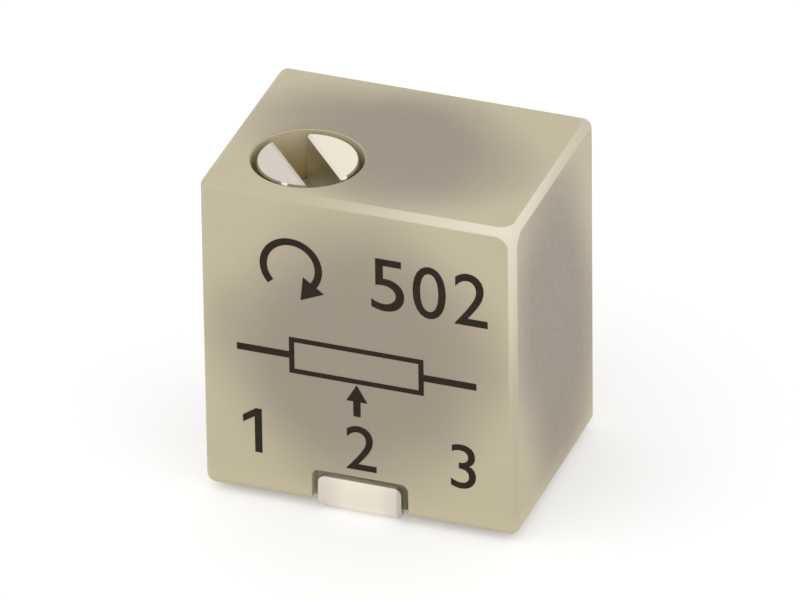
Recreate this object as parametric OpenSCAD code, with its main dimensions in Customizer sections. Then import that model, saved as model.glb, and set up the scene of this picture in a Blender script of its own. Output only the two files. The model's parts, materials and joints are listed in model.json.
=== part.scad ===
// Multiturn surface-mount trimmer potentiometer, adjusted from the top.
// A screw with a worm thread turns a small wheel, and a sprung wiper on the
// wheel sweeps a round resistive track printed on a ceramic plate.
// Millimetres. X runs left to right, Y front to back and Z up. The origin is
// on the board, under the centre of the body.

/* [Body] */
// Wall between the screw's bore and the left face
left_wall = 0.455; // [0.3:0.005:0.5]
// Wall between the gear chamber and the right face, and beside the plate
side_wall = 0.38; // [0.35:0.01:0.5]
// Wall in front of the gear chamber
front_wall = 0.46; // [0.4:0.01:0.6]
// Wall above the plate's cavity
top_wall = 0.45; // [0.35:0.01:0.5]
// Wall between the screw's bore and the ceramic plate
bore_wall = 0.095; // [0.04:0.005:0.12]
// Thickness of the floor
floor_t = 0.46; // [0.4:0.01:0.52]
// Radius of the body's outer edges
edge_r = 0.15; // [0.08:0.01:0.2]
// Bevel round the mouth of the screw's bore
bore_bevel = 0.025; // [0.01:0.005:0.04]
// Height of the notches that the leads hook up into
notch_h = 0.575; // [0.55:0.005:0.6]
// Radius at the mouth of those notches
mouth_r = 0.12; // [0.04:0.01:0.14]
// Gap between a lead's hook and each side of its notch
notch_gap = 0.1; // [0.05:0.01:0.14]

/* [Rear cover] */
// Thickness of the rear cover
cover_t = 0.52; // [0.4:0.01:0.55]
// Width of the ledge that the cover rests on
cover_ledge = 0.1; // [0.06:0.01:0.14]
// Height of the cover's lower edge over the board
cover_foot = 0.8; // [0.76:0.01:0.9]
// Radius of the cover's corners
cover_corner_r = 0.25; // [0.1:0.01:0.35]
// Depth of the cover's face below the body's back
cover_sink = 0.03; // [0.01:0.01:0.08]
// Width of each rib that presses on the ceramic plate
rib_w = 0.2; // [0.12:0.01:0.3]
// Distance of each rib from the middle of the body
rib_x = 1.65; // [1.6:0.01:1.72]

/* [Adjusting screw] */
// Diameter of the head
head_d = 1.5; // [1.44:0.02:1.6]
// Height of the head
head_h = 0.9; // [0.8:0.01:0.94]
// Gap round the head
head_gap = 0.08; // [0.05:0.01:0.1]
// Depth of the head below the top face
head_sink = 0.03; // [0:0.01:0.08]
// Bevel round the top of the head
head_bevel = 0.03; // [0.01:0.01:0.06]
// Width of the driver slot
slot_w = 0.5; // [0.35:0.01:0.56]
// Depth of the driver slot
slot_depth = 0.76; // [0.4:0.01:0.78]
// Bevel along the slot's edges
slot_bevel = 0.04; // [0.01:0.01:0.06]
// Direction of the slot, from the X axis
slot_angle = -49; // [-90:0.5:90]
// Diameter of the seal's groove
groove_d = 1.0; // [0.9:0.02:1.1]
// Height of the flange under the seal
flange_h = 0.12; // [0.08:0.01:0.16]
// Diameter of the collars on each side of the clip
collar_d = 1.24; // [1.22:0.01:1.26]
// Height of the upper collar, which passes the shoulder in the bore
collar_h = 0.18; // [0.12:0.01:0.22]
// Height of the thrust collar above the worm
thrust_h = 0.12; // [0.08:0.01:0.16]
// Diameter of the neck that the clip holds
neck_d = 0.72; // [0.6:0.02:0.76]
// Diameter of the journal at the foot
journal_d = 0.5; // [0.46:0.02:0.6]
// Height of the journal's foot over the top of the floor
journal_rest = 0.06; // [0.06:0.01:0.2]

/* [Screw clip] */
// Thickness of the clip
clip_t = 0.2; // [0.14:0.01:0.24]
// Width of the clip
clip_w = 1.36; // [1.2:0.02:1.38]
// Length of the clip, front to back
clip_len = 1.4; // [1.3:0.01:1.42]
// Radius of the clip's outer corners
clip_corner_r = 0.15; // [0.05:0.01:0.2]

/* [Worm drive] */
// Module of the teeth, along the worm
tooth_module = 0.175; // [0.165:0.005:0.18]
// Number of teeth on the wheel
wheel_teeth = 14; // [13:1:15]
// Pressure angle
pressure_angle = 25; // [22:0.5:26]
// Pitch diameter of the worm
worm_pitch_d = 0.86; // [0.82:0.01:0.88]
// Length of the worm
worm_len = 2.0; // [1.9:0.01:2.05]
// Width of the wheel's teeth
wheel_face = 0.7; // [0.6:0.01:0.75]
// Play between the teeth, along the pitch line
backlash = 0.03; // [0.02:0.005:0.05]
// Gap between the tips of the wheel's teeth and the chamber
tip_gap = 0.08; // [0.05:0.01:0.1]
// Height of the chamber's lowest point over the floor
chamber_rest = 0.23; // [0.1:0.01:0.4]
// Turns of the screw from one end of the track to the other
screw_turns = 11; // [9:1:11]

/* [Rotor] */
// Diameter of the wheel's bore, which the spring sleeve fills
sleeve_d = 1.44; // [1.4:0.01:1.5]
// Room in front of the wheel, for the sleeve's lip
lip_room = 0.265; // [0.2:0.005:0.3]
// Thickness of the spring sleeve
sleeve_t = 0.12; // [0.1:0.01:0.14]
// Thickness of the bearing tube
tube_t = 0.15; // [0.12:0.01:0.16]
// Diameter of the stub axle in the housing
axle_d = 0.6; // [0.5:0.01:0.62]
// Length of the stub axle
axle_len = 0.95; // [0.7:0.01:0.98]
// Diameter of the rotor's flange
flange_d = 2.24; // [2.2:0.01:2.4]
// Thickness of the rotor's flange
rotor_flange_t = 0.15; // [0.12:0.01:0.18]
// Thickness of the flange that is left behind the axle's end
web_t = 0.06; // [0.05:0.01:0.08]
// Height of the sleeve's lip over the wheel's bore
lip_h = 0.06; // [0.03:0.01:0.08]
// Width of the slots between the sleeve's arms
arm_slot_w = 0.12; // [0.08:0.01:0.16]
// Half of the angle that the housing's stop takes up
stop_half_angle = 15; // [10:1:20]
// Angle left between the stops past each end of the travel
stop_slack = 1; // [0.5:0.5:3]

/* [Wiper] */
// Thickness of the wiper's sheet
wiper_t = 0.05; // [0.04:0.005:0.06]
// Radius of the wiper's hub
wiper_hub_r = 0.5; // [0.46:0.01:0.54]
// Width of the band that the outer fingers leave
outer_band = 0.4; // [0.3:0.01:0.44]
// Width of the band that the inner fingers leave
inner_band = 0.25; // [0.2:0.01:0.28]
// Distance of the outer fingers from the rotor's axis
outer_reach = 0.77; // [0.74:0.01:0.8]
// Distance along the outer fingers from the axis to their tips
outer_tip = 0.8; // [0.76:0.01:0.82]
// Distance of the inner fingers from the rotor's axis
inner_reach = 0.36; // [0.34:0.01:0.37]
// Distance along the inner fingers from the axis to their tips
inner_tip = 0.12; // [0.06:0.01:0.16]
// Width of each finger
finger_w = 0.08; // [0.06:0.01:0.09]
// Gap between fingers
finger_gap = 0.03; // [0.02:0.005:0.04]
// Radius of each finger's rounded tip
tip_r = 0.05; // [0.04:0.005:0.06]
// Diameter of the pegs that hold the wiper
peg_d = 0.14; // [0.1:0.01:0.16]
// Distance between the pegs
peg_pitch = 0.56; // [0.5:0.01:0.6]
// Height of the pegs' heads
peg_head_h = 0.055; // [0.04:0.005:0.07]

/* [Ceramic plate] */
// Thickness of the ceramic plate
plate_t = 0.6; // [0.5:0.01:0.64]
// Room behind the ceramic plate, for the leads' prongs
rear_room = 0.35; // [0.3:0.01:0.45]
// Gap between the plate's edges and its cavity
plate_gap = 0.08; // [0.04:0.01:0.1]
// Height of the plate's lower edge over the board
plate_foot = 0.8; // [0.78:0.01:0.84]
// Thickness of the printed layers
film_t = 0.02; // [0.01:0.005:0.03]
// Inner radius of the resistive track
track_ri = 0.97; // [0.94:0.01:1]
// Outer radius of the resistive track
track_ro = 1.26; // [1.22:0.01:1.28]
// Angle of track past the wiper's centre at each end
track_over = 4.5; // [3:0.5:6]
// Angle that each end pad takes up past the track
end_pad_angle = 6; // [4:0.5:8]
// Inner radius of the collector ring
collector_ri = 0.22; // [0.2:0.01:0.24]
// Outer radius of the collector ring
collector_ro = 0.52; // [0.5:0.01:0.56]
// Width of the collector's trace
trace_w = 0.2; // [0.15:0.01:0.24]
// Width of the pads that the leads are soldered to
pad_w = 0.46; // [0.4:0.01:0.5]
// Height of those pads
pad_h = 0.22; // [0.2:0.01:0.24]

/* [Leads] */
// Distance between the two rear leads
lead_pitch = 2.3; // [2.2:0.02:2.4]
// Thickness of the leads, which is also the gap under the body
lead_t = 0.1; // [0.09:0.01:0.12]
// Width of the hooked ends
hook_w = 1.28; // [1.2:0.01:1.34]
// Height of the hooked ends over the board
hook_h = 0.6; // [0.57:0.005:0.62]
// Radius of the hooks' upper corners
hook_corner_r = 0.12; // [0.06:0.01:0.14]
// Radius of their lower corners, seen from the front
hook_foot_r = 0.2; // [0.1:0.01:0.24]
// Width of the lead under the body
neck_w = 0.8; // [0.7:0.01:0.9]
// Width of the blade that passes the floor
blade_w = 0.6; // [0.54:0.01:0.66]
// Inside radius of the bends
bend_r = 0.12; // [0.06:0.01:0.14]
// How far the hooks stand out of the body's faces
hook_proud = 0.02; // [0:0.01:0.04]
// Width of the front finger of a lead's clip
lead_finger_w = 0.22; // [0.18:0.01:0.24]
// Slit between that finger and the prongs beside it
lead_slit = 0.03; // [0.02:0.005:0.04]
// Height of the rear prongs over the plate's lower edge
prong_h = 0.4; // [0.3:0.01:0.5]
// Height of the front finger over the plate's lower edge
lead_finger_h = 0.13; // [0.1:0.01:0.15]

/* [Clearances] */
// Running gap round shafts
run_gap = 0.03; // [0.015:0.005:0.035]
// Running gap round the flange, in the bore
guide_gap = 0.04; // [0.03:0.005:0.05]
// Play along an axis
end_play = 0.02; // [0.01:0.005:0.03]
// Gap round fixed pieces that drop into place
fit_gap = 0.02; // [0.01:0.005:0.03]

/* [Hidden] */
$fn = 64;
eps = 0.02; // overlap that makes cuts and unions clean
seal_gap = 0.01; // between the seal ring and its bore
film_space = 0.08; // least space between two printed traces
contact_gap = 0.01; // between the wiper's fingers and the printed layers
peg_fit = 0.01; // added to the holes for the pegs
clip_back_gap = 0.05; // between the screw's clip and the ceramic plate

// Worm and wheel
worm_lead = PI * tooth_module;
addendum = tooth_module;
dedendum = 1.25 * tooth_module;
worm_r = worm_pitch_d / 2;
worm_tip_r = worm_r + addendum;
wheel_r = tooth_module * wheel_teeth / 2;
wheel_tip_r = wheel_r + addendum;
lead_angle = atan(tooth_module / worm_pitch_d);
chamber_r = wheel_tip_r + tip_gap;
sweep = 180 * screw_turns / wheel_teeth;
tooth_step = 360 / wheel_teeth;

// Levels, from the board up: the wheel stands over the floor, and the screw's
// worm is centred on the wheel
standoff = lead_t;
floor_z = standoff + floor_t;
wheel_z = floor_z + chamber_rest + chamber_r;
worm_foot = wheel_z - worm_len / 2;
worm_top = wheel_z + worm_len / 2;
journal_foot = floor_z + journal_rest;
journal_hole_foot = journal_foot - 3 * end_play;
thrust_top = worm_top + thrust_h;
clip_z = thrust_top + end_play;
collar_foot = clip_z + clip_t + end_play;
flange_foot = collar_foot + collar_h;
shoulder_z = flange_foot - end_play;
groove_foot = flange_foot + flange_h;
bore_r = head_d / 2 + head_gap;
seal_cord = bore_r - groove_d / 2 - seal_gap;
head_foot = groove_foot + seal_cord + 2 * end_play;
head_top = head_foot + head_h;
top_z = head_top + head_sink;
body_h = top_z - standoff;
well_r = max(collar_d / 2, worm_tip_r) + run_gap + end_play;

// The body's width: the screw, then the wheel beside it
screw_inset_x = left_wall + bore_r;
body_w = screw_inset_x + worm_r + wheel_r + chamber_r + side_wall;
screw_x = screw_inset_x - body_w / 2;
wheel_x = screw_x + worm_r + wheel_r;

// The body's depth: the wheel, the plate behind the bore, then the cover
screw_inset_y = front_wall + lip_room + wheel_face / 2;
plate_inset = screw_inset_y + bore_r + bore_wall;
body_d = plate_inset + plate_t + rear_room + cover_t + cover_sink;
screw_y = screw_inset_y - body_d / 2;
chamber_front = front_wall - body_d / 2;
hub_front = chamber_front + end_play;
wheel_front = screw_y - wheel_face / 2;
wheel_back = screw_y + wheel_face / 2;
flange_back = wheel_back + rotor_flange_t;
plate_front = plate_inset - body_d / 2;
plate_back = plate_front + plate_t;
film_front = plate_front - film_t;
blade_y = plate_back + lead_t / 2;
cover_back = body_d / 2 - cover_sink;
cover_front = cover_back - cover_t;
bore_end = flange_back - web_t;

// Rotor
tube_ri = axle_d / 2 + run_gap;
tube_ro = tube_ri + tube_t;
sleeve_ro = sleeve_d / 2;
sleeve_ri = sleeve_ro - sleeve_t;
sleeve_floor_t = 0.1; // between the sleeve's root and the flange's web
sleeve_root = wheel_back - web_t - sleeve_floor_t;
stop_len = lip_room;
web_half_angle = 180 - sweep - stop_slack - stop_half_angle;

// Cavity, cover and plate
cavity_w = body_w - 2 * side_wall;
cavity_top = top_z - top_wall;
rebate_w = cavity_w + 2 * cover_ledge;
rebate_top = cavity_top + cover_ledge;
plate_w = cavity_w - 2 * plate_gap;
plate_top = cavity_top - plate_gap;
track_half_angle = sweep + track_over;
trough_side = 0.2; // wall at each side of the trough in front of the plate's foot
trough_gap = 0.06; // in front of the leads' fingers
trough_room = 0.2; // over the end pads' traces
trough_top = wheel_z - track_ro * cos(180 - track_half_angle - end_pad_angle) + trough_room;
core_wall = 0.36; // round the pocket over the wheel

// Leads
bend_ro = bend_r + lead_t;
hook_y = body_d / 2 + hook_proud;
notch_w = hook_w + 2 * notch_gap;
notch_depth = bend_ro + fit_gap;
lead_x = [-lead_pitch / 2, 0, lead_pitch / 2];
lead_side = [1, -1, 1];
clip_bend_r = 0.05;
finger_top = plate_foot - clip_bend_r;
finger_foot = finger_top - lead_t;
split_z = finger_foot - clip_bend_r;
slot_half_w = blade_w / 2 + run_gap;
exit_top = bend_ro + fit_gap;
pad_top = plate_foot + pad_h;
joint_spread = 0.03; // of the solder, past each side of a lead's finger
joint_w = lead_finger_w + 2 * joint_spread;
joint_h = 0.085; // height of the solder over a lead's finger
joint_slump = 0.35; // share of its height and depth where its face bends

case_colour = "#B9AC90";
cover_colour = "#A89C82";
metal_colour = "#E4DCCB";
tin_colour = "#DDD8CC";

// A 2D rectangle with round corners, centred
module rounded_rect(w, h, r) {
    square([w - 2 * r, h], center = true);
    square([w, h - 2 * r], center = true);
    for (x = [-1, 1], y = [-1, 1])
        translate([x * (w / 2 - r), y * (h / 2 - r)]) circle(r = r);
}

// A shape drawn in X and Z, extruded from y0 to y1
module along_y(y0, y1) {
    translate([0, y1, 0]) rotate([90, 0, 0]) linear_extrude(y1 - y0) children();
}

// A shape drawn in Y and Z, extruded over a width that is centred on X
module across_x(w) {
    translate([-w / 2, 0, 0]) rotate([90, 0, 90]) linear_extrude(w) children();
}

// Puts a solid that is drawn round the Z axis on the wheel's axis: its own Z
// becomes Y, and its own -Y points up
module on_wheel_axis() {
    translate([wheel_x, 0, wheel_z]) rotate([-90, 0, 0]) children();
}

// A box from corner a to corner b
module span(a, b) {
    translate(a) cube(b - a);
}

// Housing

// A block with round edges and corners, centred
module rounded_block(w, d, h, r) {
    x = w / 2 - r;
    y = d / 2 - r;
    z = h / 2 - r;
    cube([w, 2 * y, 2 * z], center = true);
    cube([2 * x, d, 2 * z], center = true);
    cube([2 * x, 2 * y, h], center = true);
    for (a = [-1, 1], b = [-1, 1], c = [-1, 1])
        translate([a * x, b * y, c * z]) sphere(r = r);
    for (a = [-1, 1], b = [-1, 1])
        translate([a * x, b * y, 0]) cylinder(r = r, h = 2 * z, center = true);
    for (a = [-1, 1], c = [-1, 1])
        translate([a * x, 0, c * z]) rotate([90, 0, 0]) cylinder(r = r, h = 2 * y, center = true);
    for (b = [-1, 1], c = [-1, 1])
        translate([0, b * y, c * z]) rotate([0, 90, 0]) cylinder(r = r, h = 2 * x, center = true);
}

// Outline of a notch from the body's underside: a round roof and a round mouth
module notch_outline() {
    rounded_rect(notch_w, 2 * notch_h, hook_corner_r);
    for (side = [-1, 1]) difference() {
        translate([side * (notch_w + mouth_r) / 2, 0])
            square([mouth_r + eps, 2 * mouth_r], center = true);
        translate([side * (notch_w / 2 + mouth_r), mouth_r]) circle(r = mouth_r);
    }
}

// The opening that a lead's hook turns up into
module hook_notch(x, side) {
    inner = body_d / 2 - notch_depth;
    outer = body_d / 2 + eps;
    translate([x, 0, standoff])
        along_y(side < 0 ? -outer : inner, side < 0 ? -inner : outer) notch_outline();
}

// The slit in the floor that a lead's blade comes down through
module lead_exit(x) {
    below = standoff - lead_t;
    span([x - slot_half_w, plate_back - run_gap, below],
         [x + slot_half_w, plate_back + lead_t + run_gap, floor_z + eps]);
    span([x - slot_half_w, plate_back - bend_r - fit_gap, below],
         [x + slot_half_w, plate_back + lead_t + bend_r + fit_gap, exit_top]);
}

module screw_bores() {
    translate([screw_x, screw_y, 0]) {
        translate([0, 0, top_z - bore_bevel])
            cylinder(r1 = bore_r, r2 = bore_r + 2 * bore_bevel, h = 2 * bore_bevel);
        translate([0, 0, shoulder_z]) cylinder(r = bore_r, h = top_z);
        translate([0, 0, worm_foot - end_play])
            cylinder(r = well_r, h = top_z - worm_foot);
        translate([0, 0, journal_hole_foot])
            cylinder(r = journal_d / 2 + run_gap, h = worm_foot - journal_hole_foot);
    }
}

module clip_slot() {
    half_w = clip_w / 2 + fit_gap;
    front = plate_front - clip_back_gap - clip_len - fit_gap;
    span([screw_x - half_w, front, clip_z - fit_gap],
         [screw_x + half_w, plate_front + eps, clip_z + clip_t + fit_gap]);
}

// A pocket that keeps the walls even in the corner over the wheel
module core_pocket() {
    span([screw_x + bore_r + core_wall, chamber_front, wheel_z + chamber_r + core_wall],
         [cavity_w / 2, plate_front + eps, cavity_top]);
}

module stub_axle() {
    on_wheel_axis() {
        translate([0, 0, chamber_front - eps])
            cylinder(d = axle_d, h = axle_len + eps);
        translate([0, 0, chamber_front - eps])
            rotate([0, 0, 90 - stop_half_angle])
                rotate_extrude(angle = 2 * stop_half_angle)
                    translate([tube_ro + run_gap / 2, 0])
                        square([sleeve_ri - tube_ro - run_gap, stop_len + eps]);
    }
}

module housing() {
    trough_w = cavity_w - 2 * trough_side;
    color(case_colour) {
        difference() {
            translate([0, 0, standoff + body_h / 2])
                rounded_block(body_w, body_d, body_h, edge_r);
            screw_bores();
            clip_slot();
            core_pocket();
            on_wheel_axis() translate([0, 0, chamber_front])
                cylinder(r = chamber_r, h = plate_front - chamber_front + eps);
            span([-cavity_w / 2, plate_front, floor_z],
                 [cavity_w / 2, cover_front, cavity_top]);
            span([-trough_w / 2, film_front - lead_t - trough_gap, floor_z],
                 [trough_w / 2, plate_front + eps, trough_top]);
            along_y(cover_front, body_d)
                translate([0, (rebate_top + cover_foot) / 2])
                    rounded_rect(rebate_w, rebate_top - cover_foot, cover_corner_r);
            for (i = [0:2]) {
                hook_notch(lead_x[i], lead_side[i]);
                lead_exit(lead_x[i]);
            }
        }
        stub_axle();
    }
}

module rear_cover() {
    height = rebate_top - cover_foot - 2 * fit_gap;
    color(cover_colour) {
        along_y(cover_front, cover_back)
            translate([0, (rebate_top + cover_foot) / 2])
                rounded_rect(rebate_w - 2 * fit_gap, height, cover_corner_r - fit_gap);
        for (side = [-1, 1])
            span([side * rib_x - rib_w / 2, plate_back, plate_foot + prong_h],
                 [side * rib_x + rib_w / 2, cover_front + eps, plate_top - rib_w]);
    }
}

// Screw, seal and clip

// Half widths of the thread along the worm, at its crest and at its root
crest_half = worm_lead / 4 - addendum * tan(pressure_angle);
root_half = worm_lead / 4 + dedendum * tan(pressure_angle);
flank_steps = 5;
turn_steps = 24;
runout_slope = 1.2;

// Stations across one turn of the thread: [place along the worm, radius]
thread_profile = concat(
    [for (i = [0:flank_steps - 1])
        let (t = i / flank_steps)
        [-root_half + t * (root_half - crest_half),
         worm_r - dedendum + t * (addendum + dedendum)]],
    [for (i = [0:3]) [-crest_half + i / 4 * 2 * crest_half, worm_r + addendum]],
    [for (i = [0:flank_steps - 1])
        let (t = i / flank_steps)
        [crest_half + t * (root_half - crest_half),
         worm_r + addendum - t * (addendum + dedendum)]],
    [for (i = [0:2])
        [root_half + i / 3 * (worm_lead - 2 * root_half), worm_r - dedendum]]
);

// Largest radius of the thread at a height, so that it runs out at the foot
function thread_limit(z) = worm_r - dedendum + runout_slope * (z - worm_foot);

// A right-handed worm thread, with a crest that faces the wheel at its middle
module worm_thread() {
    slices = ceil(turn_steps * worm_len / worm_lead);
    count = len(thread_profile);
    z_end = worm_top + eps;
    points = [
        for (k = [0:slices], p = thread_profile)
            let (z = worm_foot + (z_end - worm_foot) * k / slices,
                 a = 360 * (z - wheel_z - p[0]) / worm_lead,
                 r = min(p[1], thread_limit(z)))
            [max(r, worm_r - dedendum) * cos(a), max(r, worm_r - dedendum) * sin(a), z]
    ];
    sides = [
        for (k = [0:slices - 1], i = [0:count - 1])
            let (j = (i + 1) % count, low = k * count, high = low + count)
            each [[low + i, high + j, high + i], [low + i, low + j, high + j]]
    ];
    foot = [[for (i = [count - 1:-1:0]) i]];
    top = [[for (i = [0:count - 1]) slices * count + i]];
    polyhedron(points, concat(sides, foot, top));
}

module adjusting_screw() {
    head_r = head_d / 2;
    collar_r = collar_d / 2;
    stack = [
        [0, worm_top], [collar_r, worm_top], [collar_r, thrust_top],
        [neck_d / 2, thrust_top], [neck_d / 2, collar_foot],
        [collar_r, collar_foot], [collar_r, flange_foot],
        [bore_r - guide_gap, flange_foot], [bore_r - guide_gap, groove_foot],
        [groove_d / 2, groove_foot], [groove_d / 2, head_foot],
        [head_r, head_foot], [head_r, head_top - head_bevel],
        [head_r - head_bevel, head_top], [0, head_top]
    ];
    journal_r = journal_d / 2;
    journal = [
        [0, journal_foot], [journal_r - head_bevel, journal_foot],
        [journal_r, journal_foot + head_bevel], [journal_r, worm_foot + eps],
        [0, worm_foot + eps]
    ];
    color(metal_colour) translate([screw_x, screw_y, 0]) {
        difference() {
            rotate_extrude() polygon(stack);
            translate([0, 0, head_top]) rotate([0, 0, slot_angle]) across_x(2 * head_d)
                polygon([
                    [-slot_w / 2, -slot_depth], [slot_w / 2, -slot_depth],
                    [slot_w / 2, -slot_bevel], [slot_w / 2 + 2 * slot_bevel, slot_bevel],
                    [-slot_w / 2 - 2 * slot_bevel, slot_bevel], [-slot_w / 2, -slot_bevel]
                ]);
        }
        worm_thread();
        rotate_extrude() polygon(journal);
    }
}

module seal_ring() {
    color("#3A3733")
        translate([screw_x, screw_y, groove_foot + end_play + seal_cord / 2])
            rotate_extrude() translate([(groove_d + seal_cord) / 2, 0])
                circle(d = seal_cord);
}

module screw_clip() {
    back = plate_front - clip_back_gap;
    gap_w = neck_d + 2 * run_gap;
    color(tin_colour) translate([0, 0, clip_z]) linear_extrude(clip_t) difference() {
        translate([screw_x, back - clip_len / 2])
            rounded_rect(clip_w, clip_len, clip_corner_r);
        translate([screw_x, screw_y]) circle(d = gap_w);
        translate([screw_x - gap_w / 2, screw_y - clip_len]) square([gap_w, clip_len]);
    }
}

// Wheel, carrier and wiper

base_r = wheel_r * cos(pressure_angle);

// Angle that the involute turns through at a radius
function involute(r) =
    r <= base_r ? 0 : sqrt(pow(r / base_r, 2) - 1) * 180 / PI - acos(base_r / r);

// Half of a tooth's angle at a radius
function half_tooth(r) =
    90 / wheel_teeth - backlash / wheel_r * 45 / PI
    + involute(wheel_r) - involute(r);

involute_radii = [for (i = [0:4]) base_r + i / 4 * (wheel_tip_r - base_r)];
wheel_root_r = wheel_r - dedendum;

// Outline of one tooth that points along X, from root to root
tooth_outline = concat(
    [[wheel_root_r, -half_tooth(base_r)]],
    [for (r = involute_radii) [r, -half_tooth(r)]],
    [for (i = [4:-1:0]) [involute_radii[i], half_tooth(involute_radii[i])]],
    [[wheel_root_r, half_tooth(base_r)]]
);

// The gaps between teeth are centred on the worm, which lies towards -X
module wheel_outline() {
    polygon([
        for (n = [0:wheel_teeth - 1], p = tooth_outline)
            let (a = p[1] + 180 + (n + 0.5) * tooth_step)
            p[0] * [cos(a), sin(a)]
    ]);
}

module worm_wheel() {
    twist = wheel_face * tan(lead_angle) / wheel_r * 180 / PI;
    color("#E9E1CC") on_wheel_axis() translate([0, 0, screw_y]) difference() {
        rotate([0, 0, -twist / 2])
            translate([0, 0, -wheel_face / 2])
                linear_extrude(wheel_face, twist = -twist, slices = 4) wheel_outline();
        cylinder(r = sleeve_ro, h = 2 * wheel_face, center = true);
    }
}

wiper_turn = -90 + atan2(outer_tip, outer_reach);
peg_x = 0.15; // distance of the pegs from the rotor's axis
peg_places = [[peg_x, peg_pitch / 2], [peg_x, -peg_pitch / 2]];
peg_rim = 0.05; // how far a peg's head spreads past its hole
peg_head_r = peg_d / 2 + peg_rim;
peg_dome = 0.8; // share of the head's radius where its dome begins

module wiper_peg() {
    rotate_extrude() polygon([
        [0, -eps], [peg_d / 2, -eps], [peg_d / 2, wiper_t], [peg_head_r, wiper_t],
        [peg_dome * peg_head_r, wiper_t + peg_dome * peg_head_h], [0, wiper_t + peg_head_h]
    ]);
}

module wiper_carrier() {
    lip_r = sleeve_ro + lip_h;
    lip_back = wheel_front - end_play;
    profile = [
        [0, bore_end], [tube_ri, bore_end], [tube_ri, hub_front],
        [tube_ro, hub_front], [tube_ro, sleeve_root], [sleeve_ri, sleeve_root],
        [sleeve_ri, hub_front], [sleeve_ro, hub_front],
        [lip_r, hub_front + lip_h], [lip_r, lip_back], [sleeve_ro, lip_back],
        [sleeve_ro, wheel_back], [flange_d / 2, wheel_back],
        [flange_d / 2, flange_back], [0, flange_back]
    ];
    color("#5E6B66") on_wheel_axis() {
        difference() {
            rotate_extrude() polygon(profile);
            for (a = [0, 90, 180]) rotate([0, 0, a])
                span([(tube_ro + sleeve_ri) / 2, -arm_slot_w / 2, hub_front - eps],
                     [2 * sleeve_ro, arm_slot_w / 2, sleeve_root - 2 * end_play]);
        }
        rotate([0, 0, -90 - web_half_angle])
            rotate_extrude(angle = 2 * web_half_angle)
                translate([tube_ro - eps, hub_front])
                    square([sleeve_ri - tube_ro + 2 * eps, sleeve_root - hub_front + eps]);
        rotate([0, 0, wiper_turn]) for (p = peg_places)
            translate([p[0], p[1], flange_back]) wiper_peg();
    }
}

// One sprung finger that runs from its root to its tip along Y, rising from
// the wiper's sheet to the printed layer
module finger(x, root, tip) {
    way = sign(tip - root);
    tip_z = film_front - contact_gap - tip_r;
    translate([x, 0, 0]) across_x(finger_w) {
        polygon([
            [root - way * eps, flange_back], [root - way * eps, flange_back + wiper_t],
            [tip, tip_z + wiper_t / 2], [tip, tip_z - wiper_t / 2]
        ]);
        translate([tip, tip_z]) circle(r = tip_r);
    }
}

module wiper() {
    outer_root = peg_x;
    inner_root = -wiper_hub_r;
    step = finger_w + finger_gap;
    outer_edge = outer_reach + step + finger_w / 2;
    inner_edge = inner_reach + step / 2 + finger_w / 2;
    stem_edge = inner_reach / 2 - finger_gap;
    color("#D9B65A") on_wheel_axis() rotate([0, 0, wiper_turn]) {
        translate([0, 0, flange_back]) linear_extrude(wiper_t) difference() {
            union() {
                circle(r = wiper_hub_r);
                translate([0, outer_root]) square([outer_edge, outer_band]);
                translate([-inner_edge, inner_root - inner_band])
                    square([inner_edge + peg_x, inner_band]);
                translate([-stem_edge, inner_root - inner_band])
                    square([stem_edge + peg_x, 2 * inner_band]);
            }
            translate([-2 * inner_edge, inner_root])
                square([2 * inner_edge - inner_reach + step + finger_gap, 2 * wiper_hub_r]);
            for (p = peg_places) translate(p) circle(d = peg_d + peg_fit);
        }
        for (i = [-1:1]) finger(outer_reach + i * step, outer_root, -outer_tip);
        for (i = [-0.5, 0.5]) finger(-inner_reach + i * step, inner_root, inner_tip);
    }
}

// Ceramic plate and what is printed on it

// A point on the plate at a radius and an angle from straight up
function plate_point(r, a) = [wheel_x + r * sin(a), wheel_z + r * cos(a)];

module ceramic_plate() {
    color("#F1EFE8")
        span([-plate_w / 2, plate_front, plate_foot], [plate_w / 2, plate_back, plate_top]);
}

// A printed stretch of a ring, between two angles from straight up
module printed_arc(ri, ro, a0, a1) {
    on_wheel_axis() translate([0, 0, film_front]) rotate([0, 0, a0 - 90])
        rotate_extrude(angle = a1 - a0) translate([ri, 0]) square([ro - ri, film_t]);
}

module resistive_track() {
    color("#2B2A2C")
        printed_arc(track_ri, track_ro, -track_half_angle, track_half_angle);
}

module lead_pad(i) {
    span([lead_x[i] - pad_w / 2, film_front, plate_foot],
         [lead_x[i] + pad_w / 2, plate_front, pad_top]);
}

// The pad at one end of the track, with its trace to a lead
module end_pad(i, side) {
    a0 = track_half_angle;
    a1 = a0 + end_pad_angle;
    mid_r = (track_ri + track_ro) / 2;
    color("#B9B7B2") {
        printed_arc(track_ri, track_ro, min(side * a0, side * a1), max(side * a0, side * a1));
        along_y(film_front, plate_front) polygon([
            [lead_x[i] + side * pad_w / 2, pad_top - eps],
            [lead_x[i] - side * pad_w / 2, pad_top - eps],
            plate_point(track_ro, side * a1), plate_point(mid_r, side * (a0 + a1) / 2),
            plate_point(track_ro, side * a0)
        ]);
        lead_pad(i);
    }
}

module collector_track() {
    half = trace_w / 2;
    collector_mid_r = (collector_ri + collector_ro) / 2;
    neck_z = wheel_z - track_ri - film_space;
    color("#B9B7B2") {
        printed_arc(collector_ri, collector_ro, 0, 360);
        along_y(film_front, plate_front) polygon([
            [lead_x[1] - pad_w / 2, pad_top - eps], [lead_x[1] + pad_w / 2, pad_top - eps],
            [wheel_x + half, neck_z], [wheel_x + half, wheel_z - collector_mid_r],
            [wheel_x - half, wheel_z - collector_mid_r], [wheel_x - half, neck_z]
        ]);
        lead_pad(1);
    }
}

// Leads

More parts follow.
